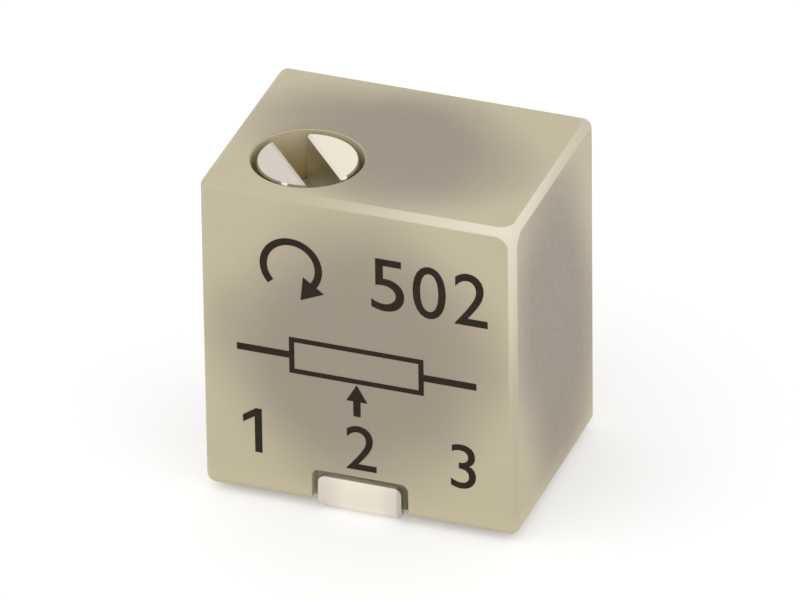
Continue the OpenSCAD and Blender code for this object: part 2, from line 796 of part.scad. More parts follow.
// A quarter bend in a strip, in the YZ plane, starting at angle a0
module strip_bend(y, z, a0, r, w) {
    translate([-w / 2, y, z]) rotate([90, 0, 90]) rotate([0, 0, a0])
        rotate_extrude(angle = 90) translate([r, 0]) square([lead_t, w]);
}

// A straight stretch of strip, centred on X
module strip(y0, y1, z0, z1, w) {
    span([-w / 2, y0, z0], [w / 2, y1, z1]);
}

// A hook seen from the front, standing on the board
module hook_outline() {
    middle = hook_h / 2;
    for (side = [-1, 1]) {
        translate([side * (hook_w / 2 - hook_foot_r), hook_foot_r]) circle(hook_foot_r);
        translate([side * (hook_w / 2 - hook_corner_r), hook_h - hook_corner_r])
            circle(hook_corner_r);
    }
    translate([hook_foot_r - hook_w / 2, 0]) square([hook_w - 2 * hook_foot_r, middle]);
    translate([hook_corner_r - hook_w / 2, middle]) square([hook_w - 2 * hook_corner_r, middle]);
    translate([-hook_w / 2, hook_foot_r])
        square([hook_w, hook_h - hook_foot_r - hook_corner_r]);
}

// The foot of a lead, drawn from its blade towards +Y: the bend under the
// floor, the run along the board and the hook that turns up at the end
module lead_foot(end_y) {
    start = lead_t / 2 + bend_r;
    turn = end_y - bend_ro;
    strip_bend(start, bend_ro, 180, bend_r, blade_w);
    strip(start - eps, turn + eps, 0, lead_t, neck_w);
    intersection() {
        union() {
            strip_bend(turn, bend_ro, 270, bend_r, hook_w);
            strip(end_y - lead_t, end_y, bend_ro, hook_h, hook_w);
        }
        along_y(0, end_y + eps) hook_outline();
    }
}

// The clip at the top of a lead: two prongs behind the plate and a finger
// that folds under it and up its front
module lead_clip() {
    prong_w = blade_w / 2 - lead_finger_w / 2 - lead_slit;
    y = plate_back;
    strip(y, y + lead_t, bend_ro, split_z, blade_w);
    for (side = [-1, 1]) translate([side * (blade_w - prong_w) / 2, 0, 0])
        strip(y, y + lead_t, split_z - eps, plate_foot + prong_h, prong_w);
    strip_bend(y - clip_bend_r, split_z, 0, clip_bend_r, lead_finger_w);
    strip(film_front + clip_bend_r - eps, y - clip_bend_r + eps,
          finger_foot, finger_top, lead_finger_w);
    strip_bend(film_front + clip_bend_r, plate_foot, 180, clip_bend_r, lead_finger_w);
    strip(film_front - lead_t, film_front, plate_foot - eps,
          plate_foot + lead_finger_h, lead_finger_w);
}

module lead(i) {
    side = lead_side[i];
    color(tin_colour) translate([lead_x[i], 0, 0]) {
        lead_clip();
        translate([0, blade_y, 0]) mirror([0, side < 0 ? 1 : 0, 0])
            lead_foot(hook_y - side * blade_y);
    }
}

module solder_joint(i) {
    z = plate_foot + lead_finger_h;
    reach = lead_t - fit_gap;
    color("#C9C9C6") translate([lead_x[i], 0, 0]) across_x(joint_w) polygon([
        [film_front, z], [film_front - reach, z],
        [film_front - joint_slump * reach, z + joint_slump * joint_h],
        [film_front, z + joint_h]
    ]);
}

module lead_sealant() {
    color("#6B5B40") for (x = lead_x) difference() {
        span([x - slot_half_w, plate_back - run_gap, exit_top],
             [x + slot_half_w, plate_back + lead_t + run_gap, floor_z]);
        span([x - blade_w / 2, plate_back, 0],
             [x + blade_w / 2, plate_back + lead_t, floor_z + eps]);
    }
}

housing();
rear_cover();
ceramic_plate();
resistive_track();
collector_track();
end_pad(0, -1);  // end_pad_1
end_pad(2, 1);  // end_pad_3
lead(0);  // lead_1
lead(1);  // lead_2
lead(2);  // lead_3
solder_joint(0);  // solder_joint_1
solder_joint(1);  // solder_joint_2
solder_joint(2);  // solder_joint_3
lead_sealant();
screw_clip();
adjusting_screw();
seal_ring();
worm_wheel();
wiper_carrier();
wiper();
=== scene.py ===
"""The finish of a small square trimmer potentiometer, dressed round its solid model.

The case, cover, screw and leads are copies of the solids with merged corners, and all but
the screw have softened edges. The print on the front is made here.
"""
import json
import math

import bmesh
import bpy
from mathutils import Matrix, Vector


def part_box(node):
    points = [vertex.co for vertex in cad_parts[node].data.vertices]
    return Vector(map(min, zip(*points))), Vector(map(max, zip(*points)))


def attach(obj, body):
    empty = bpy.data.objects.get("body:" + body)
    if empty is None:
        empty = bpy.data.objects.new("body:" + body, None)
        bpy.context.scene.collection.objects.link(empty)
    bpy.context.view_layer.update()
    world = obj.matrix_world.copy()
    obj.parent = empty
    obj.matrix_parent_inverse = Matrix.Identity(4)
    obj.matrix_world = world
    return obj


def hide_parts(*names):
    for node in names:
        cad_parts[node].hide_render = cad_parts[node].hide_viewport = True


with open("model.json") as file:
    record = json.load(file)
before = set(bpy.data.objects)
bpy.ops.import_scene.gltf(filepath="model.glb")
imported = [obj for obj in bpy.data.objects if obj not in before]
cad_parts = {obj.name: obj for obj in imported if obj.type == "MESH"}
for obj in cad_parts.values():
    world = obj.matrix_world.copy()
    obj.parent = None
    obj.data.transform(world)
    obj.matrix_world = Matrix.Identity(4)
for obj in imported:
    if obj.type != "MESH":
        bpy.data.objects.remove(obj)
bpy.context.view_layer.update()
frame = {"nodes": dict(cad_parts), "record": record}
slots = {part["node"]: part["material_slot"] for part in frame["record"]["subparts"]}

MM = 0.001
case_low, case_high = (Vector(corner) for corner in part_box("housing"))
case_middle = (case_low + case_high) / 2
case_half = (case_high - case_low) / 2
screw_low, screw_high = (Vector(corner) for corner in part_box("adjusting_screw"))
screw_axis = (screw_low + screw_high) / 2
bore_radius = 0.83 * MM
head_radius = 0.75 * MM
head_bevel = 0.03 * MM
slot_depth = 0.76 * MM
slot_turn = math.radians(-49)
slot_side = Vector((-math.sin(slot_turn), math.cos(slot_turn), 0))
hook_half_width = 0.64 * MM

# A point comes to lie on a face of the case between these shares of the half size.
near_face, at_face = 0.975, 0.995


# Materials

def paint(red, green, blue):
    """A colour as it looks on a screen, 0 to 255, in the linear values that shaders take."""
    def linear(value):
        share = value / 255
        return share / 12.92 if share <= 0.04045 else ((share + 0.055) / 1.055) ** 2.4
    return (linear(red), linear(green), linear(blue), 1.0)


class Finish:
    """A material with a few shorthands for its nodes."""

    def __init__(self, name, colour, roughness, metallic=0.0):
        self.material = bpy.data.materials.new(name)
        self.material.use_nodes = True
        self.tree = self.material.node_tree
        self.shader = self.tree.nodes["Principled BSDF"]
        self.shader.inputs["Base Color"].default_value = colour
        self.shader.inputs["Roughness"].default_value = roughness
        self.shader.inputs["Metallic"].default_value = metallic
        self.material.diffuse_color = colour
        self.place = self.add("ShaderNodeTexCoord").outputs["Object"]

    def add(self, kind, **settings):
        """A new node with some of its settings."""
        node = self.tree.nodes.new(kind)
        for key, value in settings.items():
            setattr(node, key, value)
        return node

    def feed(self, socket, value):
        """Gives a socket a number or colour, or the output of another node."""
        if isinstance(value, bpy.types.NodeSocket):
            self.tree.links.new(value, socket)
        else:
            socket.default_value = value

    def sum(self, operation, *values):
        """The result of one step of arithmetic."""
        node = self.add("ShaderNodeMath", operation=operation)
        for socket, value in zip(node.inputs, values):
            self.feed(socket, value)
        return node.outputs[0]

    def product(self, first, *others):
        """All the values multiplied together."""
        for value in others:
            first = self.sum("MULTIPLY", first, value)
        return first

    def vector(self, operation, *values):
        """The result of one step of arithmetic on places."""
        node = self.add("ShaderNodeVectorMath", operation=operation)
        for socket, value in zip(node.inputs, values):
            self.feed(socket, value)
        return node.outputs["Value" if operation in ("LENGTH", "DOT_PRODUCT") else "Vector"]

    def split(self, value):
        """The X, Y and Z of a vector."""
        node = self.add("ShaderNodeSeparateXYZ")
        self.feed(node.inputs[0], value)
        return tuple(node.outputs)

    def ramp(self, value, start, end, low=0.0, high=1.0, smooth=True):
        """A value that goes from low to high while another goes from start to end."""
        node = self.add("ShaderNodeMapRange")
        node.interpolation_type = "SMOOTHSTEP" if smooth else "LINEAR"
        for socket, number in zip(node.inputs, (value, start, end, low, high)):
            self.feed(socket, number)
        return node.outputs[0]

    def fade(self, value, start, end, smooth=True):
        """1 up to the start of a range and 0 past its end."""
        return self.ramp(value, start, end, 1.0, 0.0, smooth)

    def distance(self, place):
        """Distance of each point from a place."""
        return self.vector("LENGTH", self.vector("SUBTRACT", self.place, tuple(place)))

    def depth(self, top):
        """Depth of each point under a height."""
        return self.sum("SUBTRACT", top, self.split(self.place)[2])

    def mix(self, share, first, second):
        """A colour between two others, by a share from 0 to 1."""
        node = self.add("ShaderNodeMix", data_type="RGBA")
        factor = node.inputs["Factor"]
        first_socket, second_socket = (socket for socket in node.inputs if socket.type == "RGBA")
        for socket, value in ((factor, share), (first_socket, first), (second_socket, second)):
            self.feed(socket, value)
        return next(socket for socket in node.outputs if socket.type == "RGBA")

    def noise(self, size, detail=2.0, stretch=(1, 1, 1), roughness=0.5):
        """Noise whose lumps are about as big as size, in metres."""
        place = self.vector("MULTIPLY", self.place, stretch)
        node = self.add("ShaderNodeTexNoise")
        self.feed(node.inputs["Vector"], place)
        node.inputs["Scale"].default_value = 1 / size
        node.inputs["Detail"].default_value = detail
        node.inputs["Roughness"].default_value = roughness
        return node.outputs["Fac"]

    def colour(self, value):
        self.feed(self.shader.inputs["Base Color"], value)

    def rough(self, value):
        self.feed(self.shader.inputs["Roughness"], value)

    def relief(self, height, depth, strength):
        """Small bumps as deep as depth, in metres."""
        node = self.add("ShaderNodeBump")
        node.inputs["Strength"].default_value = strength
        node.inputs["Distance"].default_value = depth
        self.feed(node.inputs["Height"], height)
        self.feed(self.shader.inputs["Normal"], node.outputs["Normal"])


def from_axis(finish, axis):
    """Distance of each point from an upright axis, given as a place that it passes."""
    flat = finish.vector("MULTIPLY", finish.vector("SUBTRACT", finish.place, tuple(axis)), (1, 1, 0))
    return finish.vector("LENGTH", flat)


def edge_distance(finish, corner_round):
    """Distance of each point of the case's skin from the nearest edge, with round corners.

    Along one axis a point of the skin lies at the surface, so that axis is left out.
    """
    inset = finish.vector("ABSOLUTE", finish.vector("SUBTRACT", finish.place, tuple(case_middle)))
    inset = finish.vector("SUBTRACT", tuple(case_half), inset)
    near = finish.vector("SUBTRACT", (corner_round,) * 3, inset)
    near = finish.vector("MAXIMUM", near, (0, 0, 0))
    x, y, z = finish.split(near)
    outward = finish.sum("MAXIMUM", finish.sum("MAXIMUM", x, y), z)
    others = finish.sum("SUBTRACT", finish.vector("DOT_PRODUCT", near, near),
                        finish.sum("MULTIPLY", outward, outward))
    return finish.sum("SUBTRACT", corner_round, finish.sum("SQRT", finish.sum("MAXIMUM", others, 0.0)))


def with_notch(finish, body):
    """A colour with the notch round the front lead in tones of its own.

    The notch is painted palest behind the lead's middle, as painted light that the tin reflects, and
    darkest at its lower right, as a painted shadow under the lead's bend.
    """
    x, y, z = finish.split(finish.vector("SUBTRACT", finish.place, (0, case_low.y, case_low.z)))
    aside = finish.sum("ABSOLUTE", x)
    inside = finish.product(
        finish.fade(aside, 0.74 * MM, 0.76 * MM),
        finish.ramp(y, 0.01 * MM, 0.03 * MM), finish.fade(y, 0.4 * MM, 0.45 * MM),
        finish.ramp(z, 0.01 * MM, 0.03 * MM), finish.fade(z, 0.7 * MM, 0.8 * MM))
    # Painted light behind the lead's middle, turning to darker painted shade towards the sides.
    tone = finish.mix(finish.ramp(aside, 0.5 * MM, hook_half_width),
                      paint(250, 246, 236), paint(204, 197, 174))
    # A painted shadow at the notch's lower right, under the lead's bend.
    right_foot_shadow = finish.product(finish.ramp(x, 0.6 * MM, 0.65 * MM), finish.fade(z, 0.1 * MM, 0.2 * MM))
    return finish.mix(inside, body, finish.mix(right_foot_shadow, tone, paint(140, 134, 117)))


def with_bore(finish, body):
    """A colour with the screw's bore in a tone of its own: painted light near the rim against the shade
    in the gap, and browner lower down as painted shade.
    """
    depth = finish.depth(case_high.z)
    inside = finish.product(
        finish.fade(from_axis(finish, screw_axis), bore_radius, 1.02 * bore_radius),
        finish.fade(depth, 3.9 * MM, 4.0 * MM))
    # Painted light near the rim, turning to browner painted shade lower down.
    tone = finish.mix(finish.ramp(depth, 0.1 * MM, 0.7 * MM),
                      paint(208, 194, 160), paint(190, 171, 112))
    return finish.mix(inside, body, tone)


def warmth(finish, share):
    """How warm the case's tone is, from 0 in the grey middle of each face, which is painted shade, to 1
    at its corners.

    A share is a place in half sizes of the case, from its middle. On the side faces and the
    top the grey leans towards two opposite corners.
    """
    across, back, up = finish.split(share)
    side_lean = finish.ramp(finish.sum("ABSOLUTE", across), near_face, at_face, 0.0, 0.5)
    top_lean = finish.ramp(finish.sum("ABSOLUTE", up), near_face, at_face, 0.0, 0.3)
    slant = finish.sum("SUBTRACT", back, finish.sum("MULTIPLY", 0.875, up))
    outwards = finish.sum("SUBTRACT", finish.vector("DOT_PRODUCT", share, share), 1.0)
    outwards = finish.sum("ADD", outwards, finish.product(side_lean, up, slant))
    outwards = finish.sum("ADD", outwards, finish.product(top_lean, across, back))
    drift = finish.ramp(finish.noise(2.2 * MM, 1.0), 0.3, 0.7, -0.12, 0.12)
    return finish.ramp(finish.sum("ADD", outwards, drift), 0.1, 1.2)


def gleam(finish):
    """How strong the painted highlight is on the case's edges round the front's top right corner.

    The gleam reaches further along the edge that runs back than along the other two.
    """
    corner = (case_high.x, case_low.y, case_high.z)
    away = finish.vector("SUBTRACT", finish.place, corner)
    away = finish.vector("LENGTH", finish.vector("MULTIPLY", away, (1.0, 0.77, 1.0)))
    rim = finish.fade(edge_distance(finish, 0.3 * MM), 0.1 * MM, 0.12 * MM)
    return finish.sum("MULTIPLY", rim, finish.fade(away, 0.2 * MM, 3.4 * MM, smooth=False))


def moulded_case():
    """Pale filled plastic: warm towards the edges and greyer in each face's middle, a painted shade.

    The front is painted a little paler than the rest, and so is the foot, both as painted light. The
    screw's bore and the lead's notch have painted light and shade of their own, and the edges round one
    corner a painted highlight.
    """
    warm_tone = paint(201, 190, 160)
    finish = Finish("case_plastic", warm_tone, 0.5)
    share = finish.vector("DIVIDE", finish.vector("SUBTRACT", finish.place, tuple(case_middle)),
                          tuple(case_half))
    back, up = finish.split(share)[1:]
    # Painted light: the front's tones are a little paler than those of the other faces.
    off_front = finish.ramp(back, -at_face, -near_face)
    grey = finish.mix(off_front, paint(163, 151, 134), paint(156, 144, 128))
    warm = finish.mix(off_front, paint(205, 194, 163), warm_tone)
    body = finish.mix(warmth(finish, share), grey, warm)
    # Painted light on the case's foot, against the shade from the floor.
    foot = finish.product(finish.ramp(back, -at_face, -near_face, 0.25, 0.4),
                          finish.fade(up, -0.98, -0.8))
    body = finish.mix(foot, body, paint(228, 217, 186))
    specks = finish.ramp(finish.noise(0.035 * MM, 3.0), 0.35, 0.7, 0.0, 0.1)
    body = finish.mix(specks, body, paint(178, 167, 140))
    body = with_notch(finish, with_bore(finish, body))
    # A painted highlight on the edges round the front's top right corner.
    finish.colour(finish.mix(gleam(finish), body, paint(240, 231, 209)))
    finish.rough(finish.ramp(finish.noise(0.12 * MM, 2.0), 0.3, 0.7, 0.44, 0.54))
    finish.relief(finish.noise(0.05 * MM, 3.0), 0.002 * MM, 0.4)
    return finish.material


def moulded_cover():
    """The case's plastic from another mould: duller, cloudy and a little rougher."""
    finish = Finish("cover_plastic", paint(186, 174, 144), 0.5)
    cloud = finish.ramp(finish.noise(1.6 * MM, 2.0), 0.3, 0.7)
    body = finish.mix(cloud, paint(189, 177, 147), paint(170, 158, 134))
    specks = finish.ramp(finish.noise(0.035 * MM, 3.0), 0.3, 0.7, 0.0, 0.2)
    finish.colour(finish.mix(specks, body, paint(160, 149, 124)))
    finish.rough(finish.ramp(finish.noise(0.12 * MM, 2.0), 0.3, 0.7, 0.46, 0.6))
    finish.relief(finish.noise(0.05 * MM, 3.0), 0.003 * MM, 0.5)
    return finish.material


def bevel_shade_and_glints(finish):
    """The dark tone of the head's bevel, a painted shade of the gap round the head, with two painted
    glints.
    """
    tone = paint(142, 130, 106)
    # Two painted glints on the bevel, which turn with the screw.
    for x, y in ((-0.09, -0.75), (0.69, -0.31)):
        spot = (screw_axis.x + x * MM, screw_axis.y + y * MM, screw_high.z)
        glint = finish.fade(finish.distance(spot), 0.04 * MM, 0.07 * MM)
        tone = finish.mix(glint, tone, paint(250, 243, 225))
    return tone


def slot_tones(finish, depth):
    """The tones of the slot's walls, painted palest low down as painted light, and of its floor, a
    little darker as painted shade.

    What lies deeper, the neck and the worm, has the floor's tone.
    """
    # Painted light: the walls grow paler deeper in the slot.
    walls = finish.mix(finish.ramp(depth, 0.1 * MM, 0.6 * MM),
                       paint(216, 211, 203), paint(248, 247, 242))
    # Painted shade on the slot's floor.
    at_floor = finish.ramp(depth, slot_depth - 0.03 * MM, slot_depth - 0.01 * MM)
    return finish.mix(at_floor, walls, paint(222, 219, 212))


def plated_screw():
    """Plated brass with the faint rings that turning leaves on the head.

    One half of the head is painted duller than the other, and a strip beside the slot darker, both as
    painted shade.
    """
    finish = Finish("plated_screw", paint(238, 231, 213), 0.3, metallic=1.0)
    across = finish.vector("SUBTRACT", finish.place, tuple(screw_axis))
    across = finish.vector("DOT_PRODUCT", across, tuple(slot_side))
    # Painted shade: one half of the head is greyer than the other.
    tone = finish.mix(finish.ramp(across, -0.35 * MM, 0.35 * MM),
                      paint(211, 204, 194), paint(238, 231, 213))
    # A strip of painted shade beside the slot.
    from_strip = finish.sum("ABSOLUTE", finish.sum("ADD", across, 0.29 * MM))
    tone = finish.mix(finish.fade(from_strip, 0.04 * MM, 0.05 * MM), tone, paint(201, 192, 174))
    stain = finish.ramp(finish.noise(0.5 * MM, 2.0), 0.3, 0.8, 0.0, 0.2)
    tone = finish.mix(stain, tone, paint(226, 218, 200))
    radius = from_axis(finish, screw_axis)
    # The bevel round the head takes painted shade with two painted glints.
    bevel = finish.ramp(radius, head_radius - head_bevel, head_radius - head_bevel + 0.008 * MM)
    tone = finish.mix(bevel, tone, bevel_shade_and_glints(finish))
    depth = finish.depth(screw_high.z)
    below_top = finish.ramp(depth, 0.05 * MM, 0.07 * MM)
    finish.colour(finish.mix(below_top, tone, slot_tones(finish, depth)))
    ring_pitch = 0.02 * MM
    rings = finish.sum("SINE", finish.sum("MULTIPLY", radius, 2 * math.pi / ring_pitch))
    finish.rough(finish.ramp(finish.noise(0.15 * MM, 2.0), 0.3, 0.7, 0.3, 0.38))
    finish.relief(rings, 0.0003 * MM, 0.25)
    return finish.material


def tinned_metal(name, light, dark, smooth=0.3, dull=0.42, middle_x=None):
    """Satin tin over rolled strip, with soft mottling and faint rolling lines.

    Where a middle is given, the tin is that of a hook, with painted light and shade: a painted
    highlight along the middle, painted shade to each side and darker painted shade at the right edge.
    """
    finish = Finish(name, light, smooth, metallic=1.0)
    mottle = finish.ramp(finish.noise(0.5 * MM, 2.0), 0.35, 0.75)
    tone = finish.mix(mottle, light, dark)
    if middle_x is not None:
        right = finish.sum("SUBTRACT", finish.split(finish.place)[0], middle_x)
        # Painted shade to each side of the hook's middle, leaving a painted highlight along it; the
        # mottling stays as it is.
        aside = finish.ramp(finish.sum("ABSOLUTE", right), 0.1 * MM, 0.6 * MM)
        mottle_and_shade = finish.sum("MAXIMUM", finish.sum("MULTIPLY", mottle, 0.35), aside)
        tone = finish.mix(mottle_and_shade, light, dark)
        # Darker painted shade along the hook's right edge.
        edge = finish.ramp(right, hook_half_width - 0.09 * MM, hook_half_width - 0.06 * MM)
        tone = finish.mix(edge, tone, paint(196, 189, 174))
    finish.colour(tone)
    finish.rough(finish.ramp(finish.noise(0.2 * MM, 2.0), 0.3, 0.7, smooth, dull))
    lines = finish.noise(0.05 * MM, 2.0, stretch=(1, 0.15, 0.15))
    finish.relief(lines, 0.0006 * MM, 0.35)
    return finish.material


def speckled(name, light, dark, size, roughness, depth, metallic=0.0, coat=0.0):
    """A material of two close colours in lumps of one size, with relief of that size."""
    finish = Finish(name, light, roughness, metallic)
    lumps = finish.noise(size, 3.0)
    finish.colour(finish.mix(finish.ramp(lumps, 0.35, 0.7), light, dark))
    finish.rough(finish.ramp(finish.noise(1.7 * size, 2.0), 0.3, 0.7, roughness, roughness + 0.12))
    finish.relief(lumps, depth, 0.5)
    finish.shader.inputs["Coat Weight"].default_value = coat
    return finish.material


def floor_paper():
    """Plain pale paper that keeps the part's shadow.

    A glow makes it white to the camera and in reflections, and it is clear from below.
    """
    material = bpy.data.materials.new("floor_paper")
    material.use_nodes = True
    tree = material.node_tree
    tree.nodes.clear()
    diffuse, glow, clear, added, choose, out, path, side, either, seen = (
        tree.nodes.new("ShaderNode" + kind) for kind in (
            "BsdfDiffuse", "Emission", "BsdfTransparent", "AddShader", "MixShader",
            "OutputMaterial", "LightPath", "NewGeometry", "Math", "Math"))
    diffuse.inputs["Color"].default_value = (0.86, 0.86, 0.86, 1.0)
    either.operation, seen.operation = "MAXIMUM", "MULTIPLY"
    seen.inputs[1].default_value = 0.3
    for output, socket in (
            (path.outputs["Is Camera Ray"], either.inputs[0]),
            (path.outputs["Is Glossy Ray"], either.inputs[1]),
            (either.outputs[0], seen.inputs[0]),
            (seen.outputs[0], glow.inputs["Strength"]),
            (diffuse.outputs[0], added.inputs[0]),
            (glow.outputs[0], added.inputs[1]),
            (side.outputs["Backfacing"], choose.inputs["Fac"]),
            (added.outputs[0], choose.inputs[1]),
            (clear.outputs[0], choose.inputs[2]),
            (choose.outputs[0], out.inputs["Surface"])):
        tree.links.new(output, socket)
    return material


# Pieces

def keep(piece, material, body):
    """Puts a finished piece in the scene, on the body that carries it."""
    piece.data.materials.clear()
    piece.data.materials.append(material)
    bpy.context.scene.collection.objects.link(piece)
    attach(piece, body)
    return piece


def soften(bm, width, segments, turn):
    """Bevels the edges where a surface turns by more than an angle."""
    corners = [
        edge for edge in bm.edges
        if len(edge.link_faces) == 2 and edge.calc_face_angle() > turn
    ]
    bmesh.ops.bevel(bm, geom=corners, offset=width, offset_type="OFFSET", segments=segments,
                    profile=0.5, affect="EDGES", material=-1, clamp_overlap=True)


def dressed(node, body, material, width, segments=2, turn=32):
    """A copy of a solid with merged corners, softened edges and smooth curves.

    It stays inside the solid's own box, and a width of 0 leaves the edges as they are.
    """
    source = frame["nodes"][node]
    mesh = source.data.copy()
    bm = bmesh.new()
    bm.from_mesh(mesh)
    bmesh.ops.remove_doubles(bm, verts=bm.verts, dist=1e-4 * MM)
    bmesh.ops.dissolve_limit(bm, angle_limit=math.radians(0.2), use_dissolve_boundaries=False,
                             verts=bm.verts, edges=bm.edges, delimit=set())
    if width:
        soften(bm, width, segments, math.radians(turn))
        low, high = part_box(node)
        for vert in bm.verts:
            vert.co = [min(max(place, least), most) for place, least, most in zip(vert.co, low, high)]
    for face in bm.faces:
        face.smooth = True
    for edge in bm.edges:
        edge.smooth = len(edge.link_faces) == 2 and edge.calc_face_angle() < math.radians(turn)
    bm.to_mesh(mesh)
    bm.free()
    piece = bpy.data.objects.new(node + "_dressed", mesh)
    keep(piece, material, body)
    even = piece.modifiers.new("even shading", "WEIGHTED_NORMAL")
    even.keep_sharp = True
    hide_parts(node)
    return piece


dressed("housing", "case", moulded_case(), 0.012 * MM)
dressed("rear_cover", "case", moulded_cover(), 0.02 * MM)
dressed("adjusting_screw", "screw", plated_screw(), 0.0)
for number in (1, 2, 3):
    lead = f"lead_{number}"
    lead_low, lead_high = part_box(lead)
    lead_metal = tinned_metal("tinned_" + lead, paint(241, 236, 220), paint(220, 213, 201),
                              middle_x=(lead_low[0] + lead_high[0]) / 2)
    dressed(lead, "case", lead_metal, 0.02 * MM)

inner_finishes = {
    "ceramic": speckled("ceramic", paint(243, 241, 234), paint(232, 229, 220),
                        0.05 * MM, 0.4, 0.001 * MM),
    "cermet": speckled("cermet", paint(44, 43, 46), paint(62, 60, 62),
                       0.02 * MM, 0.22, 0.0006 * MM, coat=0.4),
    "silver_print": speckled("silver_print", paint(196, 194, 188), paint(170, 168, 160),
                             0.02 * MM, 0.42, 0.001 * MM, metallic=1.0),
    "solder": speckled("solder", paint(206, 206, 204), paint(184, 184, 182),
                       0.08 * MM, 0.25, 0.002 * MM, metallic=1.0),
    "sealant": speckled("sealant", paint(112, 92, 62), paint(94, 76, 50),
                        0.1 * MM, 0.2, 0.002 * MM, coat=0.5),
    "clip_steel": tinned_metal("clip_steel", paint(202, 202, 200), paint(178, 178, 176)),
    "seal_rubber": speckled("seal_rubber", paint(54, 51, 47), paint(40, 38, 35),
                            0.03 * MM, 0.6, 0.001 * MM),
    "wheel_plastic": speckled("wheel_plastic", paint(236, 229, 210), paint(224, 215, 194),
                              0.08 * MM, 0.4, 0.001 * MM),
    "carrier_plastic": speckled("carrier_plastic", paint(98, 110, 105), paint(84, 95, 90),
                                0.06 * MM, 0.5, 0.0015 * MM),
    "wiper_alloy": tinned_metal("wiper_alloy", paint(226, 196, 120), paint(206, 174, 98),
                                0.2, 0.34),
}
for node, part in frame["nodes"].items():
    finish = inner_finishes.get(slots[node])
    if finish:
        for place in part.material_slots:
            place.link = "OBJECT"
            place.material = finish


# Print on the front

ink_depth = 0.004 * MM
ink_width = 0.11 * MM


def on_front(x, z):
    """A place on the front face, in millimetres from its lower left corner."""
    return Vector((case_low.x + x * MM, case_low.y, case_low.z + z * MM))


def round_from(middle, radius, angle):
    """A place on the front face at an angle round another, anticlockwise from the right."""
    return middle + radius * Vector((math.cos(angle), 0, math.sin(angle)))


def facing_front(place, heading=0.0):
    """Lays a flat shape on the front face, with its own X along a heading."""
    return (Matrix.Translation(place) @ Matrix.Rotation(-heading, 4, "Y")
            @ Matrix.Rotation(math.pi / 2, 4, "X"))


def bar(bm, first, last, width=ink_width):
    """A straight stroke of ink between two places."""
    way = last - first
    shape = facing_front((first + last) / 2, math.atan2(way.z, way.x)) @ Matrix.Diagonal(
        (way.length, width, 1, 1))
    bmesh.ops.create_grid(bm, x_segments=1, y_segments=1, size=0.5, matrix=shape)


def hollow_box(bm, low, high):
    """A rectangle drawn with one stroke of ink, given by the outer corners."""
    size = high - low
    shape = facing_front((low + high) / 2) @ Matrix.Diagonal((size.x, size.z, 1, 1))
    made = bmesh.ops.create_grid(bm, x_segments=1, y_segments=1, size=0.5, matrix=shape)
    inside = made["verts"][0].link_faces[0]
    bmesh.ops.inset_region(bm, faces=[inside], thickness=ink_width, use_boundary=True)
    bmesh.ops.delete(bm, geom=[inside], context="FACES_ONLY")


def bow(bm, middle, radius, start, sweep):
    """A round stroke of ink from one angle through another."""
    ends = [bm.verts.new(round_from(middle, radius + side * ink_width / 2, start)) for side in (-1, 1)]
    bmesh.ops.spin(bm, geom=[*ends, bm.edges.new(ends)], cent=middle, axis=(0, -1, 0), angle=sweep,
                   steps=round(abs(sweep) / math.radians(6)), use_merge=False)


def arrow_head(bm, base, heading, size):
    """A solid triangle of ink that points along a heading, from the middle of its base."""
    middle = base + Vector((math.cos(heading), 0, math.sin(heading))) * size / 3
    bmesh.ops.create_circle(bm, cap_ends=True, segments=3, radius=size * 2 / 3,
                            matrix=facing_front(middle, heading - math.pi / 2))


def outline(bm, places):
    """A flat shape of ink with its corners at places on the front, anticlockwise."""
    bm.faces.new([bm.verts.new(on_front(x, z)) for x, z in places])


def figure(bm, sign, x, z, height, width=None):
    """A printed figure whose lower left corner lies at a place on the front.

    Its height and width are in millimetres. Without a width it keeps its own proportions.
    """
    curve = bpy.data.curves.new("figure", "FONT")
    curve.body = sign
    curve.extrude = 1.0
    curve.resolution_u = 6
    text = bpy.data.objects.new("figure", curve)
    bpy.context.scene.collection.objects.link(text)
    mesh = bpy.data.meshes.new_from_object(text)
    xs = [vert.co.x for vert in mesh.vertices]
    ys = [vert.co.y for vert in mesh.vertices]
    tall = height * MM / (max(ys) - min(ys))
    wide = tall if width is None else width * MM / (max(xs) - min(xs))
    mesh.transform(
        Matrix.Translation(on_front(x, z)) @ Matrix.Rotation(math.pi / 2, 4, "X")
        @ Matrix.Diagonal((wide, tall, ink_depth, 1)) @ Matrix.Translation((-min(xs), -min(ys), 0)))
    bm.from_mesh(mesh)
    bpy.data.objects.remove(text)
    bpy.data.curves.remove(curve)
    bpy.data.meshes.remove(mesh)


def turning_arrow(bm):
    """A clockwise arrow round most of a circle."""
    middle, radius = on_front(1.4, 3.92), 0.42 * MM
    start, sweep = math.radians(222), math.radians(-258)
    bow(bm, middle, radius, start, sweep)
    end = start + sweep
    arrow_head(bm, round_from(middle, radius, end), end - math.pi / 2, 0.34 * MM)


def resistor_sign(bm):
    """The sign for a variable resistor: a box in a line, with an arrow from below."""
    sign_z, half_height = 2.45, 0.3
    box_left, box_right = 1.35, 3.4
    hollow_box(bm, on_front(box_left, sign_z - half_height),
               on_front(box_right, sign_z + half_height))
    bar(bm, on_front(0.55, sign_z), on_front(box_left, sign_z))
    bar(bm, on_front(box_right, sign_z), on_front(4.2, sign_z))
    stem_x, stem_foot, stem_top = (box_left + box_right) / 2, 1.6, 1.85
    bar(bm, on_front(stem_x, stem_foot), on_front(stem_x, stem_top))
    arrow_head(bm, on_front(stem_x, stem_top), math.pi / 2, 0.28 * MM)


def thicken(bm):
    """Gives the flat shapes of ink their depth, out of the front face."""
    flat = bm.faces[:]
    for face in flat:
        if face.normal.y > 0:
            face.normal_flip()
    raised = bmesh.ops.extrude_face_region(bm, geom=flat)
    raised = [part for part in raised["geom"] if isinstance(part, bmesh.types.BMVert)]
    bmesh.ops.translate(bm, verts=raised, vec=(0, -ink_depth, 0))


